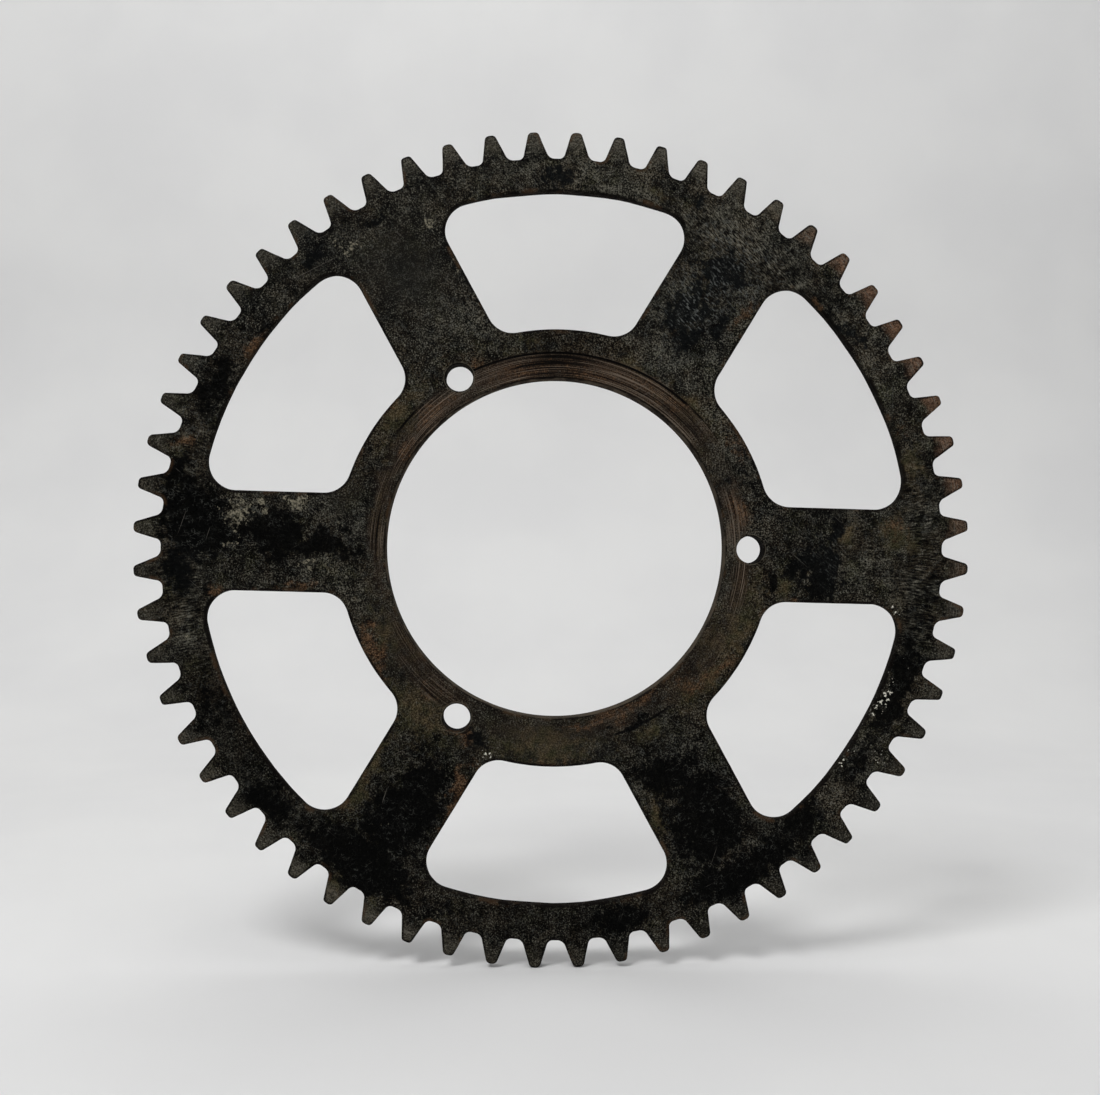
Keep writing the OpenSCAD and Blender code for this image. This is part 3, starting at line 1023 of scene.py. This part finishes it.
    def add_edges(self):
        """Thin edges: a dark outline of painted shade, and brown in places, partly rubbed and partly a
        painted lit line.
        """
        edge = self.attribute("edge_mm")
        broken = self.noise(7, 3, 0.6, 21)
        dark = self.times(self.step(edge, 0.0, 0.45, 0.9, 0.0), self.step(broken, 0.42, 0.58, 1.0, 0.15))
        self.cover(dark, EDGE_SHADE)
        rubbed_and_lit = self.times(self.step(edge, 0.0, 1.1, 0.6, 0.0), self.step(broken, 0.54, 0.68))
        self.cover(rubbed_and_lit, RUBBED_AND_LIT_EDGE)

    def add_walls(self):
        """Walls of the cuts, and the bore's wall and bevel; the bore's wall is painted lighter on its lower
        half, where the light from above falls, partly rubbed there by the hub.
        """
        colour = self.mix(self.step(self.noise(1.6, 4, 0.6, 22), 0.35, 0.7), DARK_WALL, BROWN_WALL)
        self.cover(self.wall, colour)
        in_bore = self.times(self.step(self.radius_mm, 50.0, 51.5, 1.0, 0.0), self.wall)
        # Painted light on the bore wall's lower half, partly rubbed by the hub
        colour = self.mix(self.attribute("rubbed_and_lit"), BORE_WALL, RUBBED_AND_LIT_BORE_WALL)
        self.cover(self.times(in_bore, 0.85), self.grained(colour, 0.5, 1.5))
        bevel = self.step(self.radius_mm, 51.15, 51.3, 1.0, 0.0)
        bevel = self.times(bevel, self.step(self.noise(5, 3, 0.6, 23), 0.4, 0.65, 0.0, 0.9))
        self.cover(bevel, BORE_BEVEL)

    def add_bolt_seats(self):
        """A rubbed ring round each bolt hole."""
        off = self.math("ABSOLUTE", self.plus(self.attribute("bolt_mm"), -BOLT_R - 0.5))
        seat = self.step(off, 0.06, 0.20, 1.0, 0.0)
        seat = self.times(seat, self.step(self.noise(3.5, 3, 0.6, 45), 0.36, 0.56))
        self.cover(self.times(seat, 0.75), BOLT_SEAT)

    def add_scratches(self):
        self.scratch = 0.0
        for seed, angle in enumerate(SCRATCH_ANGLES, 24):
            line = self.step(self.streaks(0.35, 14, angle, seed, 1), 0.755, 0.79)
            line = self.times(line, self.step(self.noise(9, 2, 0.5, seed + 5), 0.45, 0.6))
            self.scratch = self.math("MAXIMUM", self.scratch, line)
        self.cover(self.times(self.scratch, 0.6), SCRATCH)

    def set_roughness(self):
        rough = self.step(self.mottle, 0.3, 0.7, 0.60, 0.42)
        rough = self.blend(self.rust, rough, 0.86)
        greasy = self.step(self.noise(1.2, 3, 0.6, 32), 0.35, 0.65, 0.24, 0.42)
        rough = self.blend(self.tar, rough, greasy)
        rough = self.blend(self.flake, rough, 0.9)
        rough = self.blend(self.wall, rough, 1.0)
        self.put(self.shader.inputs["Roughness"], rough)

    def set_relief(self):
        """Fine relief, as a bump of the shader. The larger relief is in the mesh."""
        pits = self.step(self.cells(1.5), 0.0, 0.42, -1.0, 0.0)
        pits = self.times(pits, self.step(self.noise(7, 2, 0.5, 33), 0.45, 0.6))
        lumps = self.times(self.noise(1.5, 3, 0.6, 35), self.plus(0.6, self.times(self.lumpy, 2.0)))
        turning = self.times(self.ring_marks, self.hub_zone)
        height = lumps
        for layer, amount in ((self.grain, 0.45), (pits, 0.5), (self.flake, 0.4), (self.glinting_curls, 0.35),
                              (self.ridges_and_highlights, 0.5), (turning, 0.3), (self.scratch, -0.3)):
            height = self.plus(height, self.times(layer, amount))
        bump = self.nodes.new("ShaderNodeBump")
        bump.inputs["Distance"].default_value = BUMP_DEPTH * MM
        self.put(bump.inputs["Height"], height)
        self.put(self.shader.inputs["Normal"], bump.outputs[0])


# ---- The piece ---------------------------------------------------------------------------------

plate = build_plate()
plate.data.materials.append(WornSteel().material)
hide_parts("sprocket")
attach(plate, "root")


# ---- Stage, lights and camera ------------------------------------------------------------------

# Lengths are metres from here on.

FLOOR_Z = cad_low.z
SWEEP_R = 0.35
SWEEP_BACK = 0.30
STAGE_HALF_W = 3.0
STAGE_FRONT = -2.5
STAGE_TOP = 3.0
SWEEP_STEPS = 16
PAPER_GREYS = ((0.70, 0.70, 0.70), (0.74, 0.74, 0.735))


def make_stage():
    profile = [(STAGE_FRONT, 0.0)]
    for i in range(SWEEP_STEPS + 1):
        a = math.radians(90 * i / SWEEP_STEPS)
        profile.append((SWEEP_BACK + SWEEP_R * math.sin(a), SWEEP_R * (1 - math.cos(a))))
    profile.append((SWEEP_BACK + SWEEP_R, STAGE_TOP))
    vertices = [(x, y, FLOOR_Z + z) for y, z in profile for x in (-STAGE_HALF_W, STAGE_HALF_W)]
    faces = [(2 * i, 2 * i + 1, 2 * i + 3, 2 * i + 2) for i in range(len(profile) - 1)]
    mesh = bpy.data.meshes.new("stage")
    mesh.from_pydata(vertices, [], faces)
    mesh.shade_smooth()
    stage = bpy.data.objects.new("stage", mesh)
    bpy.context.scene.collection.objects.link(stage)
    t = Tree("pale_paper")
    tone = t.mix(t.step(t.noise(120, 3, 0.5, 30), 0.3, 0.7), *PAPER_GREYS)
    t.put(t.shader.inputs["Base Color"], tone)
    t.shader.inputs["Roughness"].default_value = 0.9
    mesh.materials.append(t.material)


def area_light(name, place, aim, size, power):
    data = bpy.data.lights.new(name, "AREA")
    data.shape = "DISK"
    data.size = size
    data.energy = power
    light = bpy.data.objects.new(name, data)
    light.location = place
    light.rotation_mode = "QUATERNION"
    light.rotation_quaternion = (Vector(aim) - Vector(place)).to_track_quat("-Z", "Y")
    bpy.context.scene.collection.objects.link(light)


def make_world(strength):
    world = bpy.data.worlds.new("studio")
    world.use_nodes = True
    background = next(n for n in world.node_tree.nodes if n.type == "BACKGROUND")
    background.inputs["Color"].default_value = (1.0, 1.0, 1.0, 1.0)
    background.inputs["Strength"].default_value = strength
    bpy.context.scene.world = world


CAMERA_PLACE = (-0.01377, -0.3396, -0.00381)
CAMERA_TILT = 90.67
CAMERA_ROLL = -0.44
CAMERA_TURN = -2.04
SENSOR_W = 36.0
LENS = 36.765


def make_camera():
    data = bpy.data.cameras.new("camera")
    data.sensor_width = SENSOR_W
    data.lens = LENS
    data.clip_start = 0.01
    camera = bpy.data.objects.new("camera", data)
    camera.location = CAMERA_PLACE
    camera.rotation_euler = Euler([math.radians(a) for a in (CAMERA_TILT, CAMERA_ROLL, CAMERA_TURN)])
    bpy.context.scene.collection.objects.link(camera)
    bpy.context.scene.camera = camera


make_stage()
area_light("key", (-0.5, -0.7, 1.1), (0, 0, 0), 0.5, 11)
area_light("fill", (0.9, -0.9, 0.7), (0, 0, 0), 0.9, 4)
area_light("backdrop", (0.0, 0.15, 1.4), (0, 0.6, 0.1), 1.2, 7.6)
make_world(0.16)
make_camera()
bpy.context.scene.view_settings.view_transform = "Standard"
